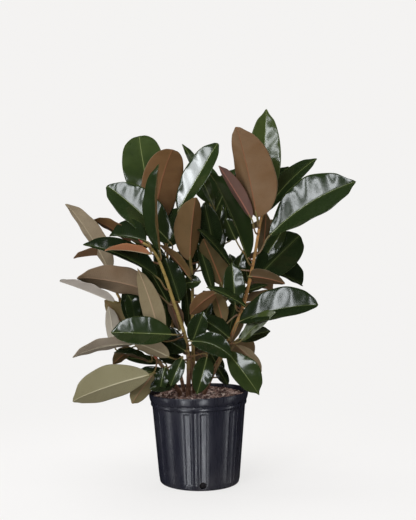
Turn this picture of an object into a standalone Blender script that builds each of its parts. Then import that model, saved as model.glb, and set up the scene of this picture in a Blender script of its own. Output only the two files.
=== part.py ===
"""A potted rubber plant (Ficus elastica) in a black nursery pot, in metres, +Z up.

The origin is the centre of the pot's base, on the surface that it stands on. The tables are
in millimetres. The plant's front faces -Y, and +X is to the right of someone who looks at it.
"""

import math
from typing import NamedTuple

import bmesh
import bpy
from mathutils import Matrix, Vector, noise

MM = 0.001
GAP = 0.3  # clearance between pieces that touch

# Pot: a 10 inch blow-moulded nursery pot, a little out of true.
RIM_RADIUS = 127.0
POT_HEIGHT = 235.0
WALL = 2.0
FLOOR = 4.0
BASE_RADIUS = 97.0
FOOT_RADIUS = 102.5  # of the wall, carried down to the base
FOOT_HEIGHT = 6.0  # of the rounded corner
SHOULDER_RADIUS = 119.0
SHOULDER = 202.0
POT_SEGMENTS = 48
SECTORS = 6  # each holds a seam between two flutes
FLUTE_DEPTH = 1.2
FLUTE_FOOT = 20.0
FLUTE_TOP = 192.0
SEAM_ANGLE = -94.0  # degrees round from +X
DRAINS = 4
DRAIN_ANGLE = -85.0
DRAIN_RADIUS = 9.0
DRAIN_HEIGHT = 15.0
RIM_RISE = 0.035  # how fast the rim rises towards +X
RIM_FRONT_RISE = 0.04  # and towards -Y
LEAN = -0.011
# The rim's section as (radius, height): a lower lip, a groove and the rolled upper band.
RIM = (
    (122, 204), (122, 211), (120.8, 212.5), (123.5, 215), (126.5, 224), (RIM_RADIUS, 229), (126, 233.5),
    (125, POT_HEIGHT), (123.8, POT_HEIGHT - 0.5))

# Potting mix.
SOIL_EDGE = 222.0
SOIL_MOUND = 8.0
SOIL_BACK_RISE = 0.04  # undoes the rim's rise in front
SOIL_LUMP = 2.5
SOIL_REACH = 116.0  # radius that the mound and lumps fade at
SOIL_SEGMENTS = 24

# Canes and leaves.
CANE_SIDES = 8
CANE_FOOT = 150.0  # how low a cane reaches in the mix
PETIOLE_RADIUS = 2.0
BLADE_HALF_THICKNESS = 0.7
MIDRIB_DEPTH = 1.4
PETIOLE_STEPS = 3
PETIOLE_REACH = 0.3
# The blade's section: (part of the half width, face), from the left edge over the upper face and back below.
SECTION = ((-1, 0), (-0.55, 1), (0, 1), (0.55, 1), (1, 0), (0.55, -1), (0, -1), (-0.55, -1))
BLADE_STATIONS = (0.05, 0.2, 0.42, 0.65, 0.85, 0.96)


class Cane(NamedTuple):
    name: str
    foot_radius: float
    tip_radius: float
    points: tuple  # from the surface of the mix up


class Leaf(NamedTuple):
    name: str
    cane: str
    joint: float  # height of the petiole's foot on its cane
    base: tuple  # where the petiole meets the blade
    blade: tuple  # from there to the tip
    width: float
    face: float  # degrees: 0 turns the upper face to the front, 180 the underside
    bow: float = 0.04  # rise of the midrib's middle towards the upper face, over the length
    fold: float = 14.0  # degrees that each half rises from flat
    belly: float = 0.47  # how far along the blade is widest
    blunt: float = 0.56  # lower is blunter at both ends
    sway: float = 0.0  # sideways bend of the midrib's middle, to the right edge, over the length
    twist: float = 0.0  # degrees that the blade turns from base to tip
    tone: str = "mature"


CANES = (
    Cane("cane_front_left", 6.5, 3.0, (
        (-29, -30, 232), (-27, -31, 290), (-30, -33, 346), (-40, -40, 396), (-68, -58, 484), (-83, -68, 533),
        (-103, -80, 585), (-122, -90, 612), (-140, -94, 624))),
    Cane("cane_low_left", 5.0, 3.0, ((-50, -26, 232), (-66, -36, 262), (-90, -48, 305), (-108, -58, 330))),
    Cane("cane_far_left", 5.0, 3.0, (
        (-50, -1, 232), (-80, 4, 275), (-130, 12, 345), (-176, 18, 423), (-212, 24, 485), (-228, 22, 535))),
    Cane("cane_centre", 5.5, 3.0, (
        (-14, 4, 232), (-16, 4, 320), (-18, 6, 420), (-18, 8, 500), (-22, 8, 560), (-30, 8, 630),
        (-36, 8, 672))),
    Cane("cane_back_left", 5.0, 3.0, (
        (-40, 16, 232), (-60, 40, 320), (-78, 52, 450), (-82, 50, 540), (-84, 40, 600), (-96, 36, 650))),
    Cane("cane_right", 6.5, 3.2, (
        (8, 10, 232), (30, 12, 275), (62, 12, 335), (88, 6, 392), (108, -4, 446), (126, -20, 518),
        (138, -32, 584), (147, -38, 640), (156, -34, 690))),
    Cane("cane_low_right", 5.0, 3.0, ((12, -22, 232), (30, -36, 275), (56, -50, 330), (80, -58, 385))),
    Cane("cane_back", 5.0, 3.0, (
        (2, 42, 232), (32, 78, 330), (54, 98, 460), (46, 104, 580), (30, 98, 680))),
    Cane("cane_rear", 5.0, 3.0, (
        (-14, 46, 232), (-30, 90, 320), (-62, 128, 440), (-96, 142, 540), (-110, 138, 600))),
)

LEAVES = (
    # The top left.
    Leaf("leaf_01", "cane_back_left", 640, (-122, 58, 690), (-38, 100, 194), 110, 0, 0.13, 10, 0.53, 0.4),
    Leaf("leaf_02", "cane_back_left", 630, (-114, 24, 664),
         (48, -72, 187), 101, 180, 0.12, 8, 0.5, 0.4, 0.04),
    Leaf("leaf_03", "cane_front_left", 578, (-97, -88, 604), (-2, -8, 212), 80, -60, 0.03, 34),
    Leaf("leaf_04", "cane_back_left", 585, (-74, -30, 619),
         (-161, 58, 140), 110, 26, 0.02, 24, 0.5, 0.52, 0.02),
    Leaf("leaf_05", "cane_centre", 662, (-52, -36, 700),
         (97, 30, 167), 80, -37, 0.02, 19, 0.55, 0.48, 0.02),
    Leaf("leaf_07", "cane_centre", 520, (-24, -36, 573), (15, -28, 160), 88, -150, 0.04, 30, 0.5, 0.5),
    # The top right.
    Leaf("leaf_08", "cane_right", 560, (118, -45, 580), (-92, 45, 212), 96, 56, 0.04, 32, 0.5, 0.5),
    Leaf("leaf_09", "cane_right", 655, (143, -54, 682), (-53, -88, 224), 134, 150, 0.03, 34, 0.4, 0.52),
    Leaf("leaf_10", "cane_right", 682, (161, -8, 712), (8, 42, 240), 86, 0, 0.03, 14, 0.47, 0.62, -0.01),
    Leaf("leaf_11", "cane_right", 640, (129, -60, 680), (-81, -20, 132), 46, 150, 0.02, 35, tone="young"),
    Leaf("leaf_13", "cane_right", 670, (168, 4, 694), (130, 34, 133), 72, -50, 0.04, 14, 0.47, 0.56, -0.03),
    Leaf("leaf_15", "cane_right", 590, (175, -34, 635), (212, -24, 137), 126, -37, 0.03, 20, 0.56, 0.62, -0.055),
    Leaf("leaf_16", "cane_right", 540, (140, 0, 521), (120, 95, 106), 97, -10, 0.08, 14, 0.5, 0.5),
    Leaf("leaf_18", "cane_right", 530, (126, -55, 536), (85, -40, -14), 44, -150, 0.06, 20, 0.27, 0.5),
    # The lower right.
    Leaf("leaf_19", "cane_low_right", 378, (100, -72, 424), (191, -48, 49), 110, -49, 0.08, 26, 0.55, 0.45),
    Leaf("leaf_21", "cane_low_right", 350, (98, -55, 378), (79, -15, 22), 44, -36),
    Leaf("leaf_22", "cane_low_right", 345, (66, -95, 355),
         (81, -45, -102), 80, -25, 0.08, 25, 0.56, 0.72, 0.01),
    Leaf("leaf_26", "cane_front_left", 352, (-18, -104, 380),
         (98, -36, -34), 62, -25, 0.05, 25, 0.5, 0.54, -0.1),
    Leaf("leaf_58", "cane_right", 440, (90, -34, 460), (-8, 22, 106), 58, 6, 0.04, 18),
    Leaf("leaf_59", "cane_right", 446, (42, -20, 490), (-66, -30, -50), 46, 160, 0.1, 10),
    Leaf("leaf_61", "cane_low_right", 370, (74, -78, 384), (-70, 16, 48), 60, 45),
    # The lower centre.
    Leaf("leaf_25", "cane_front_left", 330, (19, -88, 338), (-25, -30, -88), 52, 0, 0.12, 12, 0.42, 0.6),
    Leaf("leaf_27", "cane_front_left", 362, (-17, -80, 374), (28, -8, 78), 50, -10),
    Leaf("leaf_36", "cane_low_left", 300, (-42, -86, 334), (-29, -18, -66), 38, 10, 0.08, 12),
    Leaf("leaf_37", "cane_low_left", 270, (-86, -66, 308), (-12, -12, -58), 38, 15, 0.08, 12),
    Leaf("leaf_54", "cane_centre", 480, (58, 4, 507), (-48, -18, 120), 68, 170, 0.04, 18),
    # The lower left.
    Leaf("leaf_28", "cane_front_left", 392, (-68, -92, 395),
         (-150, -4, 6), 86, 36, 0.07, 22, 0.5, 0.56, -0.035),
    Leaf("leaf_29", "cane_far_left", 345, (-164, -64, 367), (-150, -34, -28), 64, 128, 0.07, 12),
    Leaf("leaf_30", "cane_low_left", 326, (-122, -114, 298),
         (-186, -50, -54), 104, 160, 0.03, 20, 0.55, 0.54, -0.015, -24),
    Leaf("leaf_31", "cane_low_left", 280, (-116, -62, 290), (-52, -32, -68), 50, 170, 0.06, 12),
    Leaf("leaf_34", "cane_front_left", 322, (-76, -76, 336), (-86, -30, 42), 54, 150, 0.05, 12),
    Leaf("leaf_35", "cane_front_left", 338, (-36, -44, 346), (-90, 14, 52), 66, 25, 0.05, 14),
    # The left.
    Leaf("leaf_39", "cane_far_left", 520, (-228, -8, 546), (-102, -42, 172), 86, 130, 0.04, 16, 0.45, 0.5),
    Leaf("leaf_40", "cane_front_left", 618, (-172, -30, 618), (-96, 20, 56), 62, 125, 0.06, 12),
    Leaf("leaf_42", "cane_front_left", 505, (-104, -84, 536), (-178, -41, 86), 84, 57, 0.09, 31),
    Leaf("leaf_43", "cane_front_left", 612, (-121, -125, 598),
         (-106, -35, 13), 58, 100, 0.04, 30, tone="young"),
    Leaf("leaf_45", "cane_front_left", 465, (-110, -56, 494), (-191, -40, 44), 98, 142, 0.06, 12),
    Leaf("leaf_46", "cane_far_left", 470, (-213, -60, 472), (-130, -44, 57), 62, 104, 0.015, 34, 0.5, 0.42),
    Leaf("leaf_47", "cane_far_left", 400, (-184, 40, 376), (-60, 6, 88), 66, 150),
    Leaf("leaf_49", "cane_front_left", 384, (-98, -84, 386), (-53, -26, 176), 56, 180, 0.04, 12, 0.36, 0.66, -0.02),
    Leaf("leaf_50", "cane_front_left", 455, (-78, -26, 464), (-62, -10, 110), 60, 10, 0.05, 14),
    # The back.
    Leaf("leaf_71", "cane_rear", 590, (-120, 172, 612), (-70, 95, 150), 100, 30, 0.05),
    Leaf("leaf_72", "cane_rear", 560, (-88, 178, 588), (70, 140, 100), 96, -30, 0.08),
    Leaf("leaf_73", "cane_rear", 480, (-102, 172, 498), (-112, 116, -50), 92, 120, 0.08),
    Leaf("leaf_74", "cane_rear", 390, (-60, 160, 408), (-60, 150, -60), 98, 135, 0.1),
    Leaf("leaf_75", "cane_back", 640, (36, 135, 668), (70, 120, 130), 96, -45),
    Leaf("leaf_76", "cane_back", 590, (76, 138, 606), (136, 112, 34), 92, -100, 0.08),
    Leaf("leaf_77", "cane_back", 480, (86, 138, 498), (112, 122, -36), 90, -125, 0.08),
    Leaf("leaf_78", "cane_back", 370, (66, 130, 384), (22, 160, -70), 94, -170, 0.1),
)


def smooth_line(points, per_span=2):
    """A Catmull-Rom curve through the points."""
    points = [Vector(p) for p in points]
    ends = [points[0] * 2 - points[1], *points, points[-1] * 2 - points[-2]]
    line = []
    for before, start, end, after in zip(ends, ends[1:], ends[2:], ends[3:]):
        for step in range(per_span):
            t = step / per_span
            line.append(0.5 * (
                2 * start + (end - before) * t + (2 * before - 5 * start + 4 * end - after) * t**2
                + (3 * start - before - 3 * end + after) * t**3))
    return [*line, points[-1]]


def tangents(line):
    following = [b - a for a, b in zip(line, line[1:])]
    return [following[0].normalized()] + [
        (a.normalized() + b.normalized()).normalized() for a, b in zip(following, following[1:])
    ] + [following[-1].normalized()]


def carried_frames(line, side):
    """A side vector at each point, turned along the line with no twist, from the last point back."""
    directions = tangents(line)
    sides = [(side - side.dot(directions[-1]) * directions[-1]).normalized()]
    for after, before in zip(directions[:0:-1], directions[-2::-1]):
        sides.append(after.rotation_difference(before) @ sides[-1])
    return directions, sides[::-1]


def mesh_object(name, bm, materials):
    mesh = bpy.data.meshes.new(name)
    bmesh.ops.recalc_face_normals(bm, faces=bm.faces)
    bm.to_mesh(mesh)
    bm.free()
    mesh.transform(Matrix.Scale(MM, 4))
    for material in materials:
        mesh.materials.append(material)
    mesh.shade_smooth()
    obj = bpy.data.objects.new(name, mesh)
    bpy.context.scene.collection.objects.link(obj)
    return obj


def loft(rings, tip=None, slot_of=lambda ring, point: 0):
    """A closed body through rings of points, with a flat foot and either a flat end or a tip."""
    bm = bmesh.new()
    loops = [[bm.verts.new(p) for p in ring] for ring in rings]
    count = len(loops[0])
    for i, (low, high) in enumerate(zip(loops, loops[1:])):
        for k in range(count):
            j = (k + 1) % count
            bm.faces.new((low[k], low[j], high[j], high[k])).material_index = slot_of(i, k)
    bm.faces.new(loops[0][::-1]).material_index = slot_of(0, 0)
    if tip is None:
        bm.faces.new(loops[-1])
    else:
        apex = bm.verts.new(tip)
        for k in range(count):
            side = bm.faces.new((loops[-1][k], loops[-1][(k + 1) % count], apex))
            side.material_index = slot_of(len(rings), k)
    return bm


def material(name, colour, roughness, metallic=0.0):
    made = bpy.data.materials.new(name)
    made.use_nodes = True
    shader = made.node_tree.nodes["Principled BSDF"]
    shader.inputs["Base Color"].default_value = (*colour, 1)
    shader.inputs["Roughness"].default_value = roughness
    shader.inputs["Metallic"].default_value = metallic
    return made


def cane_radius(cane, along):
    return cane.foot_radius + (cane.tip_radius - cane.foot_radius) * along**0.7


def cane_line(cane):
    foot = Vector(cane.points[0])
    return [Vector((foot.x, foot.y, CANE_FOOT)), *smooth_line(cane.points)]


def cane_object(cane, bark):
    line = cane_line(cane)
    directions, sides = carried_frames(line, Vector((1, 0, 0)))
    turns = [k * math.tau / CANE_SIDES for k in range(CANE_SIDES)]
    rings = []
    for index, (centre, direction, side) in enumerate(zip(line, directions, sides)):
        radius = cane_radius(cane, index / (len(line) - 1))
        up = direction.cross(side)
        rings.append([centre + radius * (side * math.cos(a) + up * math.sin(a)) for a in turns])
    return mesh_object(cane.name, loft(rings), [bark])


def on_cane(cane, height):
    """The point of the cane's axis at this height, its direction there and its radius."""
    line = cane_line(cane)
    index = next(i for i, point in enumerate(line[1:]) if point.z >= height)
    low, high = line[index], line[index + 1]
    part = (height - low.z) / (high.z - low.z)
    radius = cane_radius(cane, (index + part) / (len(line) - 1))
    return low.lerp(high, part), (high - low).normalized(), radius


def blade_axes(leaf):
    """The blade's unit vectors: base to tip, across to its right edge, and out of its upper face."""
    along = Vector(leaf.blade).normalized()
    to_front = Vector((0, -1, 0))
    to_front = (to_front - to_front.dot(along) * along).normalized()
    turn = math.radians(leaf.face)
    up = math.cos(turn) * to_front + math.sin(turn) * along.cross(to_front)
    return along, along.cross(up), up


def half_width(leaf, along):
    """Half the blade's width at this part of its length."""
    return leaf.width / 2 * math.sin(math.pi * along ** (math.log(0.5) / math.log(leaf.belly))) ** leaf.blunt


def petiole_line(leaf, cane):
    """Out of the cane square to it, then round into the blade's own direction."""
    centre, direction, radius = on_cane(cane, leaf.joint)
    base = Vector(leaf.base)
    out = base - centre
    out = (out - out.dot(direction) * direction).normalized()
    start = centre + out * (radius + GAP)
    reach = (base - start).length * PETIOLE_REACH
    handles = (start, start + out * reach, base - Vector(leaf.blade).normalized() * reach, base)
    line = []
    for step in range(PETIOLE_STEPS + 1):
        t = step / PETIOLE_STEPS
        weights = ((1 - t) ** 3, 3 * t * (1 - t) ** 2, 3 * t**2 * (1 - t), t**3)
        line.append(sum((w * h for w, h in zip(weights, handles)), Vector()))
    return line, out


def petiole_rings(leaf, cane, across):
    line, out = petiole_line(leaf, cane)
    directions, sides = carried_frames(line, across)
    directions[0] = out
    turns = [math.pi - k * math.tau / len(SECTION) for k in range(len(SECTION))]
    rings = []
    for centre, direction, side in zip(line, directions, sides):
        side = (side - side.dot(direction) * direction).normalized()
        rise = side.cross(direction)
        rings.append([centre + PETIOLE_RADIUS * (side * math.cos(a) + rise * math.sin(a)) for a in turns])
    return rings


def blade_ring(leaf, axes, along):
    """The blade's section at this part of its length: folded along a midrib that stands out below."""
    direction, across, up = axes
    length = Vector(leaf.blade).length
    fold = math.radians(leaf.fold)
    half = half_width(leaf, along)
    bend = length * 4 * along * (1 - along)
    centre = Vector(leaf.base) + direction * (length * along) + (up * leaf.bow + across * leaf.sway) * bend
    turn = math.radians(leaf.twist) * (along - 0.5)
    up_here = up * math.cos(turn) + across * math.sin(turn)
    across_here = across * math.cos(turn) - up * math.sin(turn)
    ring = []
    for part, face in SECTION:
        depth = MIDRIB_DEPTH if part == 0 and face < 0 else BLADE_HALF_THICKNESS
        lift = abs(part) * half * math.sin(fold) + depth * face
        ring.append(centre + across_here * (part * half * math.cos(fold)) + up_here * lift)
    return ring


def leaf_object(leaf, cane, materials):
    """A petiole and its blade as one body, in the materials of upper face, underside and petiole."""
    axes = blade_axes(leaf)
    rings = petiole_rings(leaf, cane, axes[1]) + [blade_ring(leaf, axes, u) for u in BLADE_STATIONS]

    def slot_of(ring, point):
        if ring < PETIOLE_STEPS:
            return 2
        return 0 if point < len(SECTION) // 2 else 1

    return mesh_object(leaf.name, loft(rings, Vector(leaf.base) + Vector(leaf.blade), slot_of), materials)


def wall_radius(height):
    """The outer wall's radius between the foot and the shoulder."""
    return FOOT_RADIUS + (SHOULDER_RADIUS - FOOT_RADIUS) * height / SHOULDER


def flute(segment):
    """How deep the wall sinks at this segment of the circle: once on each side of a seam."""
    per_sector = POT_SEGMENTS // SECTORS
    return FLUTE_DEPTH if segment % per_sector in (1, per_sector - 1) else 0.0


def out_of_true(point):
    """The soft pot leans a little to -X, and its rim is higher at +X and in front."""
    x, y, z = point
    return Vector((x + LEAN * z, y, z + (RIM_RISE * x - RIM_FRONT_RISE * y) * (z / POT_HEIGHT) ** 2))


def turned(profile, segments, fluted=()):
    """A closed body from (radius, height) points, turned about Z. The fluted rows sink at the flutes."""
    bm = bmesh.new()
    loops = []
    for row, (radius, height) in enumerate(profile):
        loop = []
        for k in range(segments if radius else 1):
            angle = math.radians(SEAM_ANGLE) + math.tau * k / segments
            r = radius - (flute(k) if row in fluted else 0)
            loop.append(bm.verts.new(out_of_true((r * math.cos(angle), r * math.sin(angle), height))))
        loops.append(loop)
    for low, high in zip(loops, loops[1:]):
        for k in range(segments):
            j = (k + 1) % segments
            corners = [low[k % len(low)], low[j % len(low)], high[j % len(high)], high[k % len(high)]]
            bm.faces.new(list(dict.fromkeys(corners)))
    return bm


def cut_cylinder(body, name, radius, depth, centre, rotation=(0, 0, 0), sides=12):
    """Bores a cylinder out of the body."""
    bpy.ops.mesh.primitive_cylinder_add(
        vertices=sides, radius=radius * MM, depth=depth * MM, location=Vector(centre) * MM, rotation=rotation)
    cutter = bpy.context.object
    cutter.name = f"cutter_{name}"
    cutter.hide_render = True
    cutter.display_type = "WIRE"
    cut = body.modifiers.new(cutter.name, "BOOLEAN")
    cut.object = cutter


def pot_object(plastic):
    inside = WALL + FLUTE_DEPTH
    outer = (
        (0, 0), (BASE_RADIUS, 0), (FOOT_RADIUS - 0.8, FOOT_HEIGHT),
        (wall_radius(FLUTE_FOOT - 6), FLUTE_FOOT - 6), (wall_radius(FLUTE_FOOT), FLUTE_FOOT),
        (wall_radius(FLUTE_TOP), FLUTE_TOP), (wall_radius(FLUTE_TOP + 6), FLUTE_TOP + 6),
        (SHOULDER_RADIUS, SHOULDER))
    inner = (
        (121.5, 215), (SHOULDER_RADIUS - inside, SHOULDER), (wall_radius(FLUTE_FOOT) - inside, FLUTE_FOOT),
        (FOOT_RADIUS - inside, FOOT_HEIGHT + 2), (BASE_RADIUS - inside, FLOOR), (0, FLOOR))
    pot = mesh_object("nursery_pot", turned(outer + RIM + inner, POT_SEGMENTS, fluted=(4, 5)), [plastic])
    for index in range(DRAINS):
        angle = math.radians(DRAIN_ANGLE) + index * math.tau / DRAINS
        centre = (FOOT_RADIUS * math.cos(angle), FOOT_RADIUS * math.sin(angle), DRAIN_HEIGHT)
        cut_cylinder(pot, f"drain_{index}", DRAIN_RADIUS, 16, centre, (0, math.pi / 2, angle))
    return pot


def soil_object(mix):
    """The mix fills the pot to below its rim, mounded and lumpy, with a socket for each cane."""
    inside = WALL + FLUTE_DEPTH + GAP + 0.3
    profile = (
        (0, FLOOR + GAP), (BASE_RADIUS - inside, FLOOR + GAP), (FOOT_RADIUS - inside, 9),
        (wall_radius(FLUTE_FOOT) - inside, FLUTE_FOOT), (SHOULDER_RADIUS - inside, SHOULDER),
        (119.5, SOIL_EDGE - 2),
        (112, SOIL_EDGE), (84, SOIL_EDGE), (52, SOIL_EDGE), (22, SOIL_EDGE), (0, SOIL_EDGE))
    bm = turned(profile, SOIL_SEGMENTS)
    for vert in bm.verts:
        radius = vert.co.xy.length
        if vert.co.z > SOIL_EDGE - 8 and radius < SOIL_REACH:
            vert.co.z += SOIL_MOUND * (1 - (radius / SOIL_REACH) ** 2) + SOIL_BACK_RISE * vert.co.y
            vert.co.z += SOIL_LUMP * noise.noise(vert.co * 0.04)
    soil = mesh_object("potting_mix", bm, [mix])
    for cane in CANES:
        foot = Vector(cane.points[0])
        radius = (cane.foot_radius + GAP) / math.cos(math.pi / CANE_SIDES)
        centre = (foot.x, foot.y, CANE_FOOT - GAP + 50)
        cut_cylinder(soil, cane.name, radius, 100, centre, sides=CANE_SIDES)
    return soil


def main():
    for obj in list(bpy.data.objects):
        bpy.data.objects.remove(obj)
    plastic = material("black_plastic", (0.012, 0.012, 0.015), 0.4)
    mix = material("potting_mix", (0.12, 0.06, 0.035), 0.9)
    bark = material("cane_bark", (0.25, 0.16, 0.05), 0.6)
    mature = [
        material("leaf_upper", (0.015, 0.045, 0.012), 0.2),
        material("leaf_underside", (0.19, 0.12, 0.05), 0.5),
        material("petiole", (0.30, 0.14, 0.06), 0.45),
    ]
    young = [
        material("young_leaf_upper", (0.10, 0.06, 0.02), 0.25),
        material("young_leaf_underside", (0.28, 0.08, 0.06), 0.4),
        mature[2],
    ]
    pot_object(plastic)
    soil_object(mix)
    canes = {cane.name: cane for cane in CANES}
    for cane in CANES:
        cane_object(cane, bark)
    for leaf in LEAVES:
        leaf_object(leaf, canes[leaf.cane], young if leaf.tone == "young" else mature)


main()
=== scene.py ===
"""The visual model of the potted rubber plant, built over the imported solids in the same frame.

Each leaf, cane, the pot and the mix repeats its solid's place and size in finer detail. Lengths are in
millimetres and the shapes' numbers are part.py's. MORE_LEAVES are small or hidden leaves with no solid.
"""

import math
import random
from functools import partialmethod
from typing import NamedTuple

import bpy
import numpy as np
from mathutils import Matrix, Vector, noise
from mathutils.geometry import interpolate_bezier


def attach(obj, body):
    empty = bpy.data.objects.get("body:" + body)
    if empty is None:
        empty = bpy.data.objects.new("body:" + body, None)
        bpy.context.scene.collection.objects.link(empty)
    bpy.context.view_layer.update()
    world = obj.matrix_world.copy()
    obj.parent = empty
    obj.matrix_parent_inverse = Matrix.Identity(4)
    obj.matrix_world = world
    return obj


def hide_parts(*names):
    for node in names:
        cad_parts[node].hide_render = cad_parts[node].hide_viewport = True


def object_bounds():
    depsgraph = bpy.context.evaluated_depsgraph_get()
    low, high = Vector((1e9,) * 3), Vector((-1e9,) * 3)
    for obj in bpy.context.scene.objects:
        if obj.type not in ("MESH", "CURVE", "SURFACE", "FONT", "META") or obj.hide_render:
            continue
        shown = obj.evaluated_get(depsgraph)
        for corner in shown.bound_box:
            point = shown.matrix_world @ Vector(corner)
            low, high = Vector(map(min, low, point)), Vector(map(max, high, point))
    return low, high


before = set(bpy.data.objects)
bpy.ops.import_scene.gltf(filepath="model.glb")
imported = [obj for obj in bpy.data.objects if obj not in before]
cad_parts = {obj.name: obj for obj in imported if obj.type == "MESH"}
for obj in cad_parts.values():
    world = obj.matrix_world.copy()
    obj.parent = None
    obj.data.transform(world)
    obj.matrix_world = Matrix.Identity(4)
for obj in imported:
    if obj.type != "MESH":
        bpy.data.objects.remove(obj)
cad_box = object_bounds()

MM = 0.001
CAD_CORNERS = np.array(cad_box) / MM
POT_HEIGHT = 235.0
BASE_RADIUS = 97.0
FOOT_RADIUS = 102.5
SHOULDER_RADIUS = 119.0
SHOULDER = 202.0
SECTORS = 6
SEAM_ANGLE = -94.0
DRAINS = 4
DRAIN_ANGLE = -85.0
DRAIN_RADIUS = 9.0
DRAIN_HEIGHT = 15.0
RIM_RISE = 0.035
RIM_FRONT_RISE = 0.04
LEAN = -0.011
SOIL_EDGE = 222.0
SOIL_MOUND = 8.0
SOIL_BACK_RISE = 0.04
SOIL_REACH = 116.0
CANE_FOOT = 205.0
PETIOLE_REACH = 0.3
YOUNG = (11, 43, 63)  # leaves still flushed with red


class Cane(NamedTuple):
    name: str
    foot_radius: float
    tip_radius: float
    points: tuple


class Leaf(NamedTuple):
    number: int
    joint: float
    base: tuple
    blade: tuple
    width: float
    face: float
    bow: float = 0.04
    fold: float = 14.0
    belly: float = 0.47
    blunt: float = 0.56
    sway: float = 0.0
    twist: float = 0.0

    @property
    def name(self):
        return f"leaf_{self.number:02}"


def leaves(*rows):
    return tuple(Leaf(*row) for row in rows)


CANES = (
    Cane("cane_front_left", 6.5, 3.0, (
        (-29, -30, 232), (-27, -31, 290), (-30, -33, 346), (-40, -40, 396), (-68, -58, 484), (-83, -68, 533),
        (-103, -80, 585), (-122, -90, 612), (-140, -94, 624))),
    Cane("cane_low_left", 5.0, 3.0, ((-50, -26, 232), (-66, -36, 262), (-90, -48, 305), (-108, -58, 330))),
    Cane("cane_far_left", 5.0, 3.0, (
        (-50, -1, 232), (-80, 4, 275), (-130, 12, 345), (-176, 18, 423), (-212, 24, 485), (-228, 22, 535))),
    Cane("cane_centre", 5.5, 3.0, (
        (-14, 4, 232), (-16, 4, 320), (-18, 6, 420), (-18, 8, 500), (-22, 8, 560), (-30, 8, 630),
        (-36, 8, 672))),
    Cane("cane_back_left", 5.0, 3.0, (
        (-40, 16, 232), (-60, 40, 320), (-78, 52, 450), (-82, 50, 540), (-84, 40, 600), (-96, 36, 650))),
    Cane("cane_right", 6.5, 3.2, (
        (8, 10, 232), (30, 12, 275), (62, 12, 335), (88, 6, 392), (108, -4, 446), (126, -20, 518),
        (138, -32, 584), (147, -38, 640), (156, -34, 690))),
    Cane("cane_low_right", 5.0, 3.0, ((12, -22, 232), (30, -36, 275), (56, -50, 330), (80, -58, 385))),
    Cane("cane_back", 5.0, 3.0, (
        (2, 42, 232), (32, 78, 330), (54, 98, 460), (46, 104, 580), (30, 98, 680))),
    Cane("cane_rear", 5.0, 3.0, (
        (-14, 46, 232), (-30, 90, 320), (-62, 128, 440), (-96, 142, 540), (-110, 138, 600))),
)

LEAVES = {}
LEAVES["cane_front_left"] = leaves(
    (3, 578, (-97, -88, 604), (-2, -8, 212), 80, -60, 0.03, 34),
    (26, 352, (-18, -104, 380), (98, -36, -34), 62, -25, 0.05, 25, 0.5, 0.54, -0.1),
    (25, 330, (19, -88, 338), (-25, -30, -88), 52, 0, 0.12, 12, 0.42, 0.6),
    (27, 362, (-17, -80, 374), (28, -8, 78), 50, -10),
    (28, 392, (-68, -92, 395), (-150, -4, 6), 86, 36, 0.07, 22, 0.5, 0.56, -0.035),
    (34, 322, (-76, -76, 336), (-86, -30, 42), 54, 150, 0.05, 12),
    (35, 338, (-36, -44, 346), (-90, 14, 52), 66, 25, 0.05),
    (40, 618, (-172, -30, 618), (-96, 20, 56), 62, 125, 0.06, 12),
    (42, 505, (-104, -84, 536), (-178, -41, 86), 84, 57, 0.09, 31),
    (43, 612, (-121, -125, 598), (-106, -35, 13), 58, 100, 0.04, 30),
    (45, 465, (-110, -56, 494), (-191, -40, 44), 98, 142, 0.06, 12),
    (49, 384, (-98, -84, 386), (-53, -26, 176), 56, 180, 0.04, 12, 0.36, 0.66, -0.02),
    (50, 455, (-78, -26, 464), (-62, -10, 110), 60, 10, 0.05),
)
LEAVES["cane_low_left"] = leaves(
    (36, 300, (-42, -86, 334), (-29, -18, -66), 38, 10, 0.08, 12),
    (37, 270, (-86, -66, 308), (-12, -12, -58), 38, 15, 0.08, 12),
    (30, 326, (-122, -114, 298), (-186, -50, -54), 104, 160, 0.03, 20, 0.55, 0.54, -0.015, -24),
    (31, 280, (-116, -62, 290), (-52, -32, -68), 50, 170, 0.06, 12),
)
LEAVES["cane_far_left"] = leaves(
    (29, 345, (-164, -64, 367), (-150, -34, -28), 64, 128, 0.07, 12),
    (39, 520, (-228, -8, 546), (-102, -42, 172), 86, 130, 0.04, 16, 0.45, 0.5),
    (46, 470, (-213, -60, 472), (-130, -44, 57), 62, 104, 0.015, 34, 0.5, 0.42),
    (47, 400, (-184, 40, 376), (-60, 6, 88), 66, 150),
)
LEAVES["cane_centre"] = leaves(
    (5, 662, (-52, -36, 700), (97, 30, 167), 80, -37, 0.02, 19, 0.55, 0.48, 0.02),
    (7, 520, (-24, -36, 573), (15, -28, 160), 88, -150, 0.04, 30, 0.5, 0.5),
    (54, 480, (58, 4, 507), (-48, -18, 120), 68, 170, 0.04, 18),
)
LEAVES["cane_back_left"] = leaves(
    (1, 640, (-122, 58, 690), (-38, 100, 194), 110, 0, 0.13, 10, 0.53, 0.4),
    (2, 630, (-114, 24, 664), (48, -72, 187), 101, 180, 0.12, 8, 0.5, 0.4, 0.04),
    (4, 585, (-74, -30, 619), (-161, 58, 140), 110, 26, 0.02, 24, 0.5, 0.52, 0.02),
)
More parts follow.
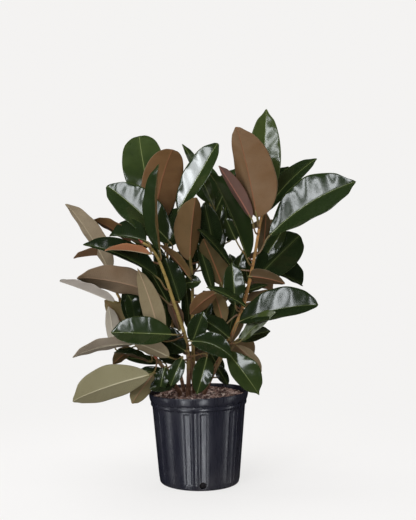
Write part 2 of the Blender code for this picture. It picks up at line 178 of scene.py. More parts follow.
LEAVES["cane_right"] = leaves(
    (8, 560, (118, -45, 580), (-92, 45, 212), 96, 56, 0.04, 32, 0.5, 0.5),
    (9, 655, (143, -54, 682), (-53, -88, 224), 134, 150, 0.03, 34, 0.4, 0.52),
    (10, 682, (161, -8, 712), (8, 42, 240), 86, 0, 0.03, 14, 0.47, 0.62, -0.01),
    (11, 640, (129, -60, 680), (-81, -20, 132), 46, 150, 0.02, 35),
    (13, 670, (168, 4, 694), (130, 34, 133), 72, -50, 0.04, 14, 0.47, 0.56, -0.03),
    (15, 590, (175, -34, 635), (212, -24, 137), 126, -37, 0.03, 20, 0.56, 0.62, -0.055),
    (16, 540, (140, 0, 521), (120, 95, 106), 97, -10, 0.08, 14, 0.5, 0.5),
    (18, 530, (126, -55, 536), (85, -40, -14), 44, -150, 0.06, 20, 0.27, 0.5),
    (58, 440, (90, -34, 460), (-8, 22, 106), 58, 6, 0.04, 18),
    (59, 446, (42, -20, 490), (-66, -30, -50), 46, 160, 0.1, 10),
)
LEAVES["cane_low_right"] = leaves(
    (19, 378, (100, -72, 424), (191, -48, 49), 110, -49, 0.08, 26, 0.55, 0.45),
    (21, 350, (98, -55, 378), (79, -15, 22), 44, -36),
    (22, 345, (66, -95, 355), (81, -45, -102), 80, -25, 0.08, 25, 0.56, 0.72, 0.01),
    (61, 370, (74, -78, 384), (-70, 16, 48), 60, 45),
)
LEAVES["cane_back"] = leaves(
    (75, 640, (36, 135, 668), (70, 120, 130), 96, -45),
    (76, 590, (76, 138, 606), (136, 112, 34), 92, -100, 0.08),
    (77, 480, (86, 138, 498), (112, 122, -36), 90, -125, 0.08),
    (78, 370, (66, 130, 384), (22, 160, -70), 94, -170, 0.1),
)
LEAVES["cane_rear"] = leaves(
    (71, 590, (-120, 172, 612), (-70, 95, 150), 100, 30, 0.05),
    (72, 560, (-88, 178, 588), (70, 140, 100), 96, -30, 0.08),
    (73, 480, (-102, 172, 498), (-112, 116, -50), 92, 120, 0.08),
    (74, 390, (-60, 160, 408), (-60, 150, -60), 98, 135, 0.1),
)

MORE_LEAVES = {}
MORE_LEAVES["cane_front_left"] = leaves(
    (41, 606, (-132, -64, 624), (-93, 20, 12), 100, 60, 0.06, 32),
    (44, 570, (-176, 0, 583), (-146, 26, -8), 80, 110, 0.03),
    (51, 470, (-50, -34, 470), (-36, 0, 110), 62, 20),
    (63, 440, (-50, -20, 395), (-30, -8, 85), 46, 140),
    (67, 470, (-81, 30, 491), (-31, 10, 117), 40, 10),
)
MORE_LEAVES["cane_low_left"] = leaves(
    (38, 270, (-60, -62, 270), (-64, -20, -14), 46, 40),
    (98, 262, (-71, 10, 266), (-82, 0, 23), 36, 20),
    (99, 290, (-97, 20, 306), (-97, -10, 15), 26, 20),
)
MORE_LEAVES["cane_far_left"] = leaves(
    (32, 350, (-172, -10, 348), (-48, -10, -40), 40, 150),
    (33, 340, (-126, -52, 320), (-88, -12, 24), 60, 84, 0.04, 24),
    (48, 350, (-218, 22, 345), (-16, 14, 103), 44, 160),
    (62, 400, (-140, 0, 408), (-42, -20, 80), 62, 20),
    (64, 390, (-166, -20, 410), (-18, 10, 96), 52, 15),
)
MORE_LEAVES["cane_centre"] = leaves(
    (52, 520, (-26, -34, 532), (-74, -20, 84), 52, 120),
    (53, 500, (-42, 0, 511), (46, -10, 6), 40, -30),
    (55, 600, (38, 32, 596), (-26, -12, 120), 62, 0),
    (66, 560, (34, 50, 592), (31, 10, 62), 34, 10),
    (68, 480, (34, 10, 488), (-38, 0, 128), 30, 10),
    (69, 360, (-25, 26, 389), (-10, 10, 117), 36, 5),
    (80, 380, (1, 20, 404), (31, 5, 64), 30, 0),
    (93, 290, (-40, 18, 308), (-69, 0, 16), 34, 20),
    (100, 370, (-86, 26, 384), (-5, 0, 93), 34, 10),
    (101, 270, (57, 20, 277), (-31, 0, 57), 40, 0),
    (102, 540, (32, 60, 560), (26, 10, 147), 50, 10),
    (105, 540, (-2, 60, 555), (10, 0, 109), 60, 10),
    (106, 500, (-25, 60, 519), (-10, 0, 78), 44, 0),
    (107, 450, (14, 50, 473), (44, 0, -62), 46, 10),
    (110, 540, (1, 30, 563), (-10, 10, 56), 34, 10),
)
MORE_LEAVES["cane_back_left"] = leaves(
    (94, 450, (-110, 90, 480), (-130, 30, 10), 88, 110, 0.08),
    (95, 400, (-100, 80, 430), (-110, 50, -20), 86, 115, 0.08),
    (103, 370, (-56, 60, 386), (-34, 10, 97), 46, 10),
    (112, 430, (-106, 66, 452), (-100, 30, 34), 80, 100),
    (114, 560, (-118, 66, 590), (-90, 60, 30), 80, 95),
)
MORE_LEAVES["cane_right"] = leaves(
    (12, 660, (146, 30, 683), (-48, 20, 131), 56, 0),
    (14, 675, (164, 32, 705), (66, 50, 100), 62, -20),
    (17, 530, (158, 40, 554), (110, 50, -56), 88, -45, 0.02, 42, 0.6, 0.45),
    (56, 545, (78, -14, 557), (-84, -4, 96), 40, 60),
    (57, 448, (117, -50, 458), (-99, -12, 52), 46, 70),
    (60, 430, (60, 0, 408), (-26, 6, 88), 46, 150),
    (65, 530, (159, 20, 564), (60, 20, 90), 40, 0),
    (70, 490, (84, 25, 500), (26, 0, 86), 40, 0),
    (96, 540, (160, 30, 563), (10, 10, 127), 38, 170),
    (97, 460, (98, 30, 476), (77, 10, 27), 32, -60),
    (104, 470, (109, 30, 504), (-33, 0, 80), 36, 0),
    (108, 480, (124, 40, 511), (-13, -10, 83), 36, 0),
    (109, 570, (93, 50, 618), (-26, 0, 57), 40, 0),
)
MORE_LEAVES["cane_low_right"] = leaves(
    (20, 372, (104, -100, 382), (82, -35, 76), 58, -62),
    (23, 340, (96, -66, 362), (60, -14, -62), 48, -120),
    (24, 300, (42, -10, 305), (31, -14, -50), 30, 0),
    (79, 350, (73, 20, 376), (23, 0, 98), 42, 10),
)
MORE_LEAVES["cane_back"] = leaves(
    (6, 660, (36, 72, 702), (-80, -4, 162), 40, 42),
    (86, 630, (60, 150, 640), (10, 150, 60), 92, 0, 0.1),
    (87, 430, (90, 120, 440), (140, 70, -10), 90, -120, 0.1),
    (88, 440, (40, 150, 455), (30, 160, -30), 94, -140, 0.1),
    (89, 330, (75, 120, 338), (60, 120, -70), 88, -150, 0.1),
    (90, 320, (30, 110, 330), (-20, 150, -70), 86, 170, 0.1),
    (92, 670, (26, 120, 710), (-40, 70, 110), 86, 20),
    (111, 400, (72, 92, 424), (120, -6, 26), 84, -100),
    (113, 520, (88, 96, 548), (110, 30, 30), 80, -100),
)
MORE_LEAVES["cane_rear"] = leaves(
    (81, 570, (-150, 150, 585), (-80, 90, 40), 88, 85),
    (82, 520, (-70, 180, 540), (90, 126, 20), 92, -90, 0.1),
    (83, 440, (-95, 170, 455), (-130, 70, -50), 90, 125, 0.1),
    (84, 350, (-60, 140, 362), (-110, 100, -60), 92, 130, 0.1),
    (85, 300, (-20, 140, 310), (40, 140, -60), 88, -160, 0.1),
    (91, 590, (-112, 150, 640), (10, 70, 170), 90, 0),
)


# ---------------- lines and meshes

def smooth_line(points, per_span):
    """A Catmull-Rom curve through the points."""
    points = [Vector(p) for p in points]
    ends = [points[0] * 2 - points[1], *points, points[-1] * 2 - points[-2]]
    line = []
    for before, start, end, after in zip(ends, ends[1:], ends[2:], ends[3:]):
        for step in range(per_span):
            t = step / per_span
            line.append(0.5 * (
                2 * start + (end - before) * t + (2 * before - 5 * start + 4 * end - after) * t**2
                + (3 * start - before - 3 * end + after) * t**3))
    return [*line, points[-1]]


def carried_frames(line, side):
    """Each point's direction and a side vector that turns along the line with no twist."""
    steps = [(b - a).normalized() for a, b in zip(line, line[1:])]
    directions = [steps[0], *((a + b).normalized() for a, b in zip(steps, steps[1:])), steps[-1]]
    sides = [(side - side.dot(directions[0]) * directions[0]).normalized()]
    for before, after in zip(directions, directions[1:]):
        sides.append(before.rotation_difference(after) @ sides[-1])
    return directions, sides


def ring_faces(rings, sides, start=0):
    """Faces of a closed tube through rings of points."""
    last = start + (rings - 1) * sides
    faces = [
        (i + k, i + (k + 1) % sides, i + sides + (k + 1) % sides, i + sides + k)
        for i in range(start, last, sides) for k in range(sides)]
    return [*faces, tuple(range(start, start + sides))[::-1], tuple(range(last, last + sides))]


def tube(line, radii, sides, side=Vector((1, 0, 0))):
    """Vertices and faces of a closed round tube whose rings start at the side vector."""
    points = []
    for centre, direction, edge, radius in zip(line, *carried_frames(line, side), radii):
        up = direction.cross(edge)
        for k in range(sides):
            a = math.tau * k / sides
            points.append(centre + float(radius) * (edge * math.cos(a) + up * math.sin(a)))
    return points, ring_faces(len(line), sides)


def turned(rings):
    """Vertices and faces of a closed shape through rings round the axis; its first and last are one point."""
    count = max(len(ring) for ring in rings)
    points, faces, low = [], [], []
    for ring in rings:
        high = range(len(points), len(points) + len(ring))
        points += ring
        for k in range(count if low else 0):
            j = (k + 1) % count
            corners = (low[k % len(low)], low[j % len(low)], high[j % len(high)], high[k % len(high)])
            faces.append(tuple(dict.fromkeys(corners)))  # a triangle at a single point
        low = high
    return points, faces


def polar(radius, angle):
    return radius * math.cos(angle), radius * math.sin(angle)


def smoothstep(low, high, x):
    t = np.clip((np.asarray(x, float) - low) / (high - low), 0, 1)
    return t * t * (3 - 2 * t)


def build(name, points, faces, materials, slots=None):
    """An object from points in millimetres."""
    mesh = bpy.data.meshes.new(name)
    mesh.from_pydata((np.array([tuple(p) for p in points]) * MM).tolist(), [], faces)
    for material in materials:
        mesh.materials.append(material)
    if slots is not None:
        mesh.polygons.foreach_set("material_index", np.asarray(slots, np.int32))
    mesh.shade_smooth()
    mesh.update()
    obj = bpy.data.objects.new(name, mesh)
    bpy.context.scene.collection.objects.link(obj)
    return obj


def store(obj, name, *columns):
    """Up to three numbers for each vertex, for the materials to read."""
    values = np.zeros((len(obj.data.vertices), 3), np.float32)
    for index, column in enumerate(columns):
        values[:, index] = column
    obj.data.attributes.new(name, "FLOAT_VECTOR", "POINT").data.foreach_set("vector", values.ravel())


def finish_piece(obj, slot, *nodes):
    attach(obj, "root")
    if nodes:
        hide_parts(*nodes)


# ---------------- shader nodes

class Value:
    """A number that varies from place to place. Arithmetic on it adds Math nodes."""

    def __init__(self, nodes, socket):
        self.nodes = nodes
        self.socket = socket

    def apply(self, operation, *others, clamp=False):
        inputs = dict(enumerate((self.socket, *others)))
        made = self.nodes.add("Math", inputs, operation=operation, use_clamp=clamp)
        return Value(self.nodes, made.outputs[0])

    __add__ = partialmethod(apply, "ADD")
    __sub__ = partialmethod(apply, "SUBTRACT")
    __mul__ = partialmethod(apply, "MULTIPLY")
    __truediv__ = partialmethod(apply, "DIVIDE")
    __pow__ = partialmethod(apply, "POWER")
    __abs__ = partialmethod(apply, "ABSOLUTE")

    def __rsub__(self, other):
        return Value(self.nodes, other) - self

    def band(self, low, high, bottom=0.0, top=1.0, kind="SMOOTHSTEP"):
        """The range low to high, mapped to bottom to top."""
        inputs = {"Value": self, "From Min": low, "From Max": high, "To Min": bottom, "To Max": top}
        return Value(self.nodes, self.nodes.add("MapRange", inputs, interpolation_type=kind).outputs[0])

    def varied(self, grain, spread):
        """The value, raised and lowered by the noise and kept within 0 to 1."""
        return self.apply("ADD", grain * spread - spread / 2, clamp=True)


class Nodes:
    """Adds nodes to a material or a world. An input is a plain value, a Value or another node's output."""

    def __init__(self, owner):
        owner.use_nodes = True
        self.owner = owner
        self.tree = owner.node_tree

    def add(self, kind, inputs, **settings):
        made = self.tree.nodes.new("ShaderNode" + kind)
        for name, setting in settings.items():
            setattr(made, name, setting)
        for key, value in inputs.items():
            self.plug(made.inputs[key], value)
        return made

    def plug(self, socket, value):
        if isinstance(value, Value):
            value = value.socket
        if isinstance(value, bpy.types.NodeSocket):
            self.tree.links.new(value, socket)
        else:
            socket.default_value = (*value, 1) if socket.type == "RGBA" else value

    def place(self, squeeze=None, turn=(0, 0, 0)):
        """Object coordinates. A pattern on them is drawn out along the axes of small squeeze."""
        plain = self.add("TexCoord", {}).outputs["Object"]
        if squeeze is None:
            return plain
        return self.add("Mapping", {"Vector": plain, "Scale": squeeze, "Rotation": turn}).outputs[0]

    def axes(self, vector):
        """The three numbers of a vector."""
        return [Value(self, axis) for axis in self.add("SeparateXYZ", {0: vector}).outputs]

    def attribute(self, name):
        """The three numbers that store() kept."""
        return self.axes(self.add("Attribute", {}, attribute_name=name).outputs["Vector"])

    def noise(self, scale, detail=3.0, roughness=0.55, squeeze=None, turn=(0, 0, 0)):
        inputs = {"Vector": self.place(squeeze, turn), "Scale": scale, "Detail": detail}
        return Value(self, self.add("TexNoise", {**inputs, "Roughness": roughness}).outputs["Fac"])

    def cells(self, scale, feature="F1"):
        made = self.add("TexVoronoi", {"Vector": self.place(), "Scale": scale}, feature=feature)
        return Value(self, made.outputs["Distance"])

    def mix(self, factor, a, b):
        inputs = {"Factor": factor, "A": a, "B": b}
        return self.add("Mix", inputs, data_type="RGBA").outputs["Result"]

    def ramp(self, value, *stops):
        """A colour ramp from (position, colour) stops."""
        made = self.add("ValToRGB", {"Fac": value})
        elements = made.color_ramp.elements
        while len(elements) < len(stops):
            elements.new(0.5)
        for element, (position, colour) in zip(elements, stops):
            element.position = position
            element.color = (*colour, 1)
        return made.outputs["Color"]

    def dress(self, colour, roughness, height, strength, depth, specular=0.5):
        """Sets the material's colour, roughness and gloss, bumps it by the height and returns it."""
        relief = self.add("Bump", {"Height": height, "Strength": strength, "Distance": depth})
        shader = self.tree.nodes["Principled BSDF"]
        self.plug(shader.inputs["Base Color"], colour)
        self.plug(shader.inputs["Roughness"], roughness)
        self.plug(shader.inputs["Normal"], relief.outputs["Normal"])
        shader.inputs["Specular IOR Level"].default_value = specular
        return self.owner


# ---------------- materials

VEIN_PITCH = 5.2  # millimetres between side veins
VEIN_SLOPE = 0.42  # how far a side vein runs up the blade for each millimetre out
VEIN_WOBBLE = 1.6 * VEIN_PITCH


def new_material(name):
    return Nodes(bpy.data.materials.new(name))


def vein_wave(nodes):
    """Side veins of a blade, 1 on a vein and 0 between. They leave the midrib and run to the tip."""
    from_rib = nodes.attribute("blade")[2]
    mm_along = nodes.attribute("grown")[0]
    wobble = (nodes.noise(28.0, 1.0) - 0.5) * VEIN_WOBBLE
    cycle = (mm_along - abs(from_rib) * VEIN_SLOPE + wobble) * (math.tau / VEIN_PITCH)
    return cycle.apply("SINE") * 0.5 + 0.5


def midrib(along, from_rib, foot_width, tip_width, core):
    """1 on the midrib, which narrows to the blade's tip, and 0 beside it."""
    width = along.band(0.0, 1.0, foot_width, tip_width, "LINEAR")
    return 1 - (abs(from_rib) / width).band(core, 1.0)


def upper_material(name, dark, mid, fresh, rib, roughness=0.13):
    """A waxy upper face: deep green, paler along the midrib and veins, faintly dusty, on some leaves with a
    painted grey sheen.
    """
    nodes = new_material(name)
    along, across, from_rib = nodes.attribute("blade")
    light, dust, _ = nodes.attribute("tint")
    mottle = nodes.noise(90.0, 3.0, 0.65)
    veins = vein_wave(nodes)
    colour = nodes.ramp(light.varied(nodes.noise(16.0), 0.5), (0.0, dark), (0.5, mid), (1.0, fresh))
    colour = nodes.mix(veins**6.0 * 0.10, colour, fresh)
    colour = nodes.mix(mottle.band(0.5, 0.75, 0.0, 0.25), colour, dark)
    colour = nodes.mix((1 - abs(from_rib).band(1.0, 9.0)) * 0.25, colour, fresh)
    on_rib = midrib(along, from_rib, 2.1, 0.75, 0.35)
    colour = nodes.mix(on_rib * light.band(0.0, 0.5, 0.25, 0.75), colour, rib)
    colour = nodes.mix(abs(across).band(0.975, 0.995) * 0.45, colour, rib)
    # Grey patches of dust, which on some leaves also paint the pale sheen of a reflection; they are rougher
    # too.
    dust_and_sheen = dust * nodes.noise(38.0, 4.0).band(0.4, 0.75)
    colour = nodes.mix(dust_and_sheen, colour, (0.30, 0.31, 0.27))
    smear = nodes.noise(55.0, 4.0, 0.6).band(0.3, 0.75, roughness, roughness + 0.06)
    relief = veins * 0.10 + mottle * 0.5
    return nodes.dress(colour, smear + dust_and_sheen * 0.3, relief, 0.2, 0.0002, specular=0.45)


def under_material(name, brown, olive, pale, rib):
    """A matt underside: bronze to olive, with a paler midrib and a net of fine veins, greyed by dust and on
    some leaves by a painted sheen.
    """
    nodes = new_material(name)
    along, across, from_rib = nodes.attribute("blade")
    _, dust, hue = nodes.attribute("tint")
    green = nodes.attribute("grown")[1]
    patches = nodes.noise(13.0)
    net = 1 - nodes.cells(330.0, "DISTANCE_TO_EDGE").band(0.0, 0.12)
    veins = vein_wave(nodes)
    colour = nodes.ramp(hue.varied(patches, 0.3), (0.0, olive), (0.5, brown), (1.0, pale))
    colour = nodes.mix(green, colour, (0.13, 0.15, 0.045))
    rib = nodes.mix(hue.band(0.6, 1.0), rib, (0.48, 0.44, 0.30))
    colour = nodes.mix(veins**5.0 * 0.07, colour, rib)
    colour = nodes.mix(net * 0.12, colour, olive)
    colour = nodes.mix(nodes.noise(240.0, 2.0, 0.7).band(0.5, 0.8, 0.0, 0.2), colour, olive)
    colour = nodes.mix(midrib(along, from_rib, 3.0, 1.1, 0.4) * 0.8, colour, rib)
    colour = nodes.mix(abs(across).band(0.97, 0.995) * 0.5, colour, pale)
    # Grey of dust, which on some leaves is a painted sheen.
    colour = nodes.mix(dust, colour, (0.46, 0.44, 0.43))
    roughness = patches.band(0.3, 0.7, 0.46, 0.62)
    return nodes.dress(colour, roughness, veins**3.0 * 0.8 + net * 0.25, 0.35, 0.0003, specular=0.22)


def petiole_material():
    """Green flushed with pink, more so at its foot."""
    nodes = new_material("petiole")
    tone = nodes.attribute("blade")[0].varied(nodes.noise(60.0), 0.8)
    colour = nodes.ramp(tone, (0.0, (0.14, 0.065, 0.035)), (1.0, (0.15, 0.13, 0.04)))
    return nodes.dress(colour, 0.42, nodes.noise(420.0), 0.35, 0.0004)


def cane_material():
    """Stems: woody and red-brown at the foot, then smooth and green or ochre, with pale specks."""
    nodes = new_material("cane_bark")
    height, ring, hue = nodes.attribute("stem")
    grain = nodes.noise(420.0, 4.0, 0.7, squeeze=(1.0, 1.0, 0.22))
    patches = nodes.noise(45.0)
    green = nodes.ramp(hue, (0.0, (0.12, 0.11, 0.03)), (0.5, (0.29, 0.20, 0.055)), (1.0, (0.36, 0.17, 0.05)))
    wood = nodes.ramp(
        grain, (0.3, (0.035, 0.016, 0.009)), (0.55, (0.14, 0.065, 0.035)), (0.8, (0.33, 0.20, 0.13)))
    woody = 1 - (patches * 160.0 + height).band(340.0, 470.0)
    colour = nodes.mix(patches.band(0.4, 0.7, 0.0, 0.35), green, (0.10, 0.09, 0.025))
    colour = nodes.mix(woody, colour, wood)
    colour = nodes.mix(nodes.cells(380.0).band(0.10, 0.2, 0.55, 0.0), colour, (0.45, 0.38, 0.24))
    colour = nodes.mix(ring * 0.4, colour, (0.09, 0.045, 0.02))
    return nodes.dress(colour, woody.band(0.0, 1.0, 0.45, 0.85), grain, 0.7, 0.0012)


def plastic_material():
    """Black moulded plastic with faint drawn streaks, scuffs and dust, more of it near the floor."""
    nodes = new_material("black_plastic")
    streaks = nodes.noise(120.0, 4.0, 0.6, squeeze=(1.0, 1.0, 0.05))
    scuffs = nodes.noise(75.0, 6.0, 0.75, squeeze=(1.0, 1.0, 0.35), turn=(0.3, 0.2, 0.0)).band(0.62, 0.78)
    low = 1 - nodes.axes(nodes.place())[2].band(0.0, 0.06)
    dust = nodes.noise(9.0, 4.0).band(0.35, 0.75) * (low * 0.10 + 0.035)
    colour = nodes.mix(streaks, (0.0085, 0.0088, 0.0145), (0.019, 0.0195, 0.031))
    colour = nodes.mix(dust, colour, (0.26, 0.24, 0.22))
    colour = nodes.mix(scuffs * 0.10, colour, (0.2, 0.2, 0.22))
    roughness = streaks.band(0.3, 0.7, 0.24, 0.34) + scuffs * 0.2
    return nodes.dress(colour, roughness, streaks * 0.6 + nodes.noise(700.0, 2.0) * 0.25, 0.25, 0.0006)


def bark_material(name, wet):
    """Bark chips and peat. wet darkens it. Low in the pot it is painted near black, the shade that shows
    through the drain holes.
    """
    nodes = new_material(name)
    grain = nodes.noise(380.0, 5.0, 0.75, squeeze=(1.0, 0.35, 1.0))
    colour = nodes.ramp(
        nodes.attribute("chip")[0].varied(grain, 0.7), (0.0, (0.012, 0.007, 0.006)),
        (0.3, (0.095, 0.048, 0.038)), (0.55, (0.30, 0.19, 0.155)), (0.8, (0.58, 0.43, 0.37)),
        (1.0, (0.78, 0.66, 0.58)))
    colour = nodes.mix(wet, colour, (0.006, 0.004, 0.004))
    # Painted shade: darker below 120 mm and near black below 60 mm, so the drain holes look dark.
    painted_shade_low = nodes.axes(nodes.place())[2].band(0.06, 0.12, 0.9, 0.0)
    return nodes.dress(nodes.mix(painted_shade_low, colour, (0.006, 0.006, 0.008)), 0.85, grain, 0.9, 0.0015)


def sheath_material():
    """The red sheath round a growing point, green at its foot."""
    nodes = new_material("growing_sheath")
    tone = nodes.noise(70.0) * 0.5 + nodes.attribute("blade")[0] * 0.6
    colour = nodes.ramp(
        tone, (0.1, (0.20, 0.16, 0.05)), (0.45, (0.30, 0.06, 0.04)), (0.9, (0.16, 0.02, 0.025)))
    return nodes.dress(colour, 0.35, nodes.noise(300.0), 0.3, 0.0004)


# ---------------- leaves

STATIONS = 46
CROWDING = 0.4  # how much of the stations' spacing crowds to the blade's two ends
RIB_COLUMNS = (0.9, 2.2, 4.2)  # millimetres from the midrib
RIB_ROOM = 14.0  # half the blade's width, below which the rib's columns draw in
BLADE_COLUMNS = (0.16, 0.33, 0.5, 0.67, 0.82, 0.93, 1.0)  # then parts of what is left
HALF_THICKNESS = 0.55
GROOVE_DEPTH, GROOVE_WIDTH = 0.45, 1.5
RIB_DEPTH, RIB_WIDTH = 1.5, 1.9  # at the blade's base, more than at its tip
TIP_RIB_DEPTH, TIP_RIB_WIDTH = 0.35, 0.9
RIPPLE = (0.9, 2.4)  # height of the edge's waves on a blade 100 wide
WAVES = (2.2, 3.6)  # how many there are
SWELLS = (36, 46)  # millimetres between the blade's swells
DROOP, DROOP_START = (0.0, 0.02), 0.82  # parts of the blade's length
STRAY = 0.004  # how far a blade sways by chance, in parts of its length
TIP_RADIUS, TIP_EDGE = 1.9, 0.35
DRIP_BLUNT, DRIP_DRAW, DRIP_SPAN = 0.38, 1.8, (0.87, 0.975)  # blunter blades draw in more at the tip
MAP_STRIPS = ((0.755, 0.215), (0.285, 0.215), (0.04, 0.03))  # middle and half height of each slot's
PETIOLE_STEPS = 10
PETIOLE_SIDES = 10
PETIOLE_RADII = (2.9, 2.4, *[2.0] * (PETIOLE_STEPS - 2), 2.1, 1.7, 0.9)  # it ends under the blade
PETIOLE_SINK = 1.2  # how deep it starts in its cane


def blade_axes(leaf):
    """The blade's unit vectors: base to tip, across to its right edge, and out of its upper face."""
    along = Vector(leaf.blade).normalized()
    to_front = Vector((0, -1, 0))
    to_front = (to_front - to_front.dot(along) * along).normalized()
    turn = math.radians(leaf.face)
    up = math.cos(turn) * to_front + math.sin(turn) * along.cross(to_front)
    return along, along.cross(up), up


def arch(part):
    """0 at both ends of the blade and 1 at its middle."""
    return 4 * part * (1 - part)


def outline(leaf, along):
    """Half the blade's width: an oval that draws in to a short drip tip."""
    swell = math.log(0.5) / math.log(leaf.belly)
    oval = np.sin(np.pi * np.clip(along, 1e-4, 1 - 1e-4) ** swell) ** leaf.blunt
    oval = oval * (1 - max(0.0, leaf.blunt - DRIP_BLUNT) * DRIP_DRAW * smoothstep(*DRIP_SPAN, along))
    return np.maximum(oval * leaf.width / 2, TIP_RADIUS * np.sqrt(np.clip(1 - along, 0, 1)) + TIP_EDGE)


def blade_grid(leaf):
    """Places over the blade: the part of its length, and millimetres from its midrib, and half its width."""
    t = np.linspace(0, 1, STATIONS)[:, None]
    u = CROWDING * (0.5 - 0.5 * np.cos(np.pi * t)) + (1 - CROWDING) * t
    half = outline(leaf, u)
    near = np.array(RIB_COLUMNS) * np.minimum(1, half / RIB_ROOM)
    far = near[:, -1:] + (half - near[:, -1:]) * np.array(BLADE_COLUMNS)
    right = np.concatenate([near, far], axis=1)
    return u, np.concatenate([-right[:, ::-1], np.zeros_like(half), right], axis=1), half


def blade_lift(leaf, rng, u, x, half):
    """How high the blade stands: folded up from its midrib, wavy, swollen between veins, its tip drooping."""
    length = Vector(leaf.blade).length
    edge = np.abs(x / half)
    ripple = rng.uniform(*RIPPLE) * leaf.width / 100
    waves = rng.uniform(*WAVES)
    phases = (rng.uniform(0, math.tau), rng.uniform(0, math.tau))
    phase = np.where(x < 0, phases[0], phases[1])
    lift = edge * half * math.sin(math.radians(leaf.fold)) * (1.1 - 0.1 * edge)
    lift = lift + ripple * edge**2.5 * np.sin(math.tau * waves * u + phase) * np.sin(np.pi * u) ** 0.5
    veins = u * length - VEIN_SLOPE * np.abs(x)
    lift = lift + np.sin(math.tau * veins / rng.uniform(*SWELLS) + phases[0]) * edge * (1 - edge**4)
    return lift - rng.uniform(*DROOP) * length * smoothstep(DROOP_START, 1.0, u) ** 2


def blade_mesh(leaf, rng):
    """The blade as one closed skin: points, faces, slots, and each point's place along and across it."""
    along, across, up = (np.array(a) for a in blade_axes(leaf))
    length = Vector(leaf.blade).length
    u, x, half = blade_grid(leaf)
    lift = blade_lift(leaf, rng, u, x, half)
    flat = x * math.cos(math.radians(leaf.fold))
    sway = (leaf.sway + rng.uniform(-STRAY, STRAY)) * length * arch(u)
    twist = math.radians(leaf.twist) * (u - 0.5)
    thick = HALF_THICKNESS * np.sqrt(np.clip(1 - np.abs(x / half) ** 8, 0, 1))
    groove = GROOVE_DEPTH * np.exp(-((x / GROOVE_WIDTH) ** 2)) * (1 - 0.7 * u)
    rib_width = RIB_WIDTH * (1 - u) + TIP_RIB_WIDTH
    rib = (RIB_DEPTH * (1 - u) + TIP_RIB_DEPTH) * np.exp(-((x / rib_width) ** 2))

    def skin(offset):
        high = lift + offset
        aside = flat * np.cos(twist) + high * np.sin(twist) + sway
        above = high * np.cos(twist) - flat * np.sin(twist) + leaf.bow * length * arch(u)
        places = along * (length * u)[..., None] + across * aside[..., None] + up * above[..., None]
        return np.array(leaf.base) + places

    inside = np.zeros_like(x)
    inside[1:-1, 1:-1] = 1
    rows, columns = x.shape

    def both(upper, under):
        """The upper face's values, then the underside's, which shares the upper face's rim."""
        size = upper.shape[2:]
        return np.concatenate([upper.reshape(-1, *size), under[1:-1, 1:-1].reshape(-1, *size)])

    upper_index = np.arange(x.size).reshape(x.shape)
    under_index = upper_index.copy()
    under_index[1:-1, 1:-1] = x.size + np.arange((rows - 2) * (columns - 2)).reshape(rows - 2, columns - 2)
    faces = []
    for index in (upper_index, under_index[:, ::-1]):
        quads = np.stack([index[:-1, :-1], index[:-1, 1:], index[1:, 1:], index[1:, :-1]], axis=-1)
        faces += quads.reshape(-1, 4).tolist()
    slots = np.repeat((0, 1), len(faces) // 2)
    points = both(skin((thick - groove) * inside), skin(-(thick + rib) * inside))
    places = np.stack([np.broadcast_to(u, x.shape), x / half, x], axis=-1)
    return points, faces, slots, both(places, places)


def cane_line(cane, per_span=12):
    foot = Vector(cane.points[0])
    return [Vector((foot.x, foot.y, CANE_FOOT)), *smooth_line(cane.points, per_span)]


def cane_radius(cane, part):
    return cane.foot_radius + (cane.tip_radius - cane.foot_radius) * part**0.7


def on_cane(cane, height):
    """The point of the cane's axis at this height, its direction there and its radius."""
    line = cane_line(cane)
    index = next(i for i, point in enumerate(line[1:]) if point.z >= height)
    low, high = line[index], line[index + 1]
    part = (height - low.z) / (high.z - low.z)
    radius = cane_radius(cane, (index + part) / (len(line) - 1))
    return low.lerp(high, part), (high - low).normalized(), radius


def petiole_line(leaf, cane):
    """Out of the cane, round into the blade's own direction and a little way on under its midrib."""
    centre, direction, radius = on_cane(cane, leaf.joint)
    base = Vector(leaf.base)
    out = base - centre
    out = (out - out.dot(direction) * direction).normalized()
    start = centre + out * (radius - PETIOLE_SINK)
    reach = (base - start).length * PETIOLE_REACH
    along, _, up = blade_axes(leaf)
    line = interpolate_bezier(start, start + out * reach, base - along * reach, base, PETIOLE_STEPS + 1)
    length = Vector(leaf.blade).length
    for part in (0.04, 0.09):
        line.append(base + along * (part * length) + up * (leaf.bow * length * arch(part) - 1.0))
    return line


def bake_map(mesh, slots, places):
    """A flat map with the upper face, the underside and the petiole one above another."""
    corners = np.empty(len(mesh.loops), np.int32)
    mesh.loops.foreach_get("vertex_index", corners)
    counts = np.empty(len(mesh.polygons), np.int32)
    mesh.polygons.foreach_get("loop_total", counts)
    middle, reach = np.array(MAP_STRIPS)[np.repeat(slots, counts)].T
    uv = np.empty((len(corners), 2), np.float32)
    uv[:, 0] = 0.02 + 0.96 * places[corners, 0]
    uv[:, 1] = middle + reach * np.clip(places[corners, 1], -1, 1)
    mesh.uv_layers.new(name="OFBake").uv.foreach_set("vector", uv.ravel())


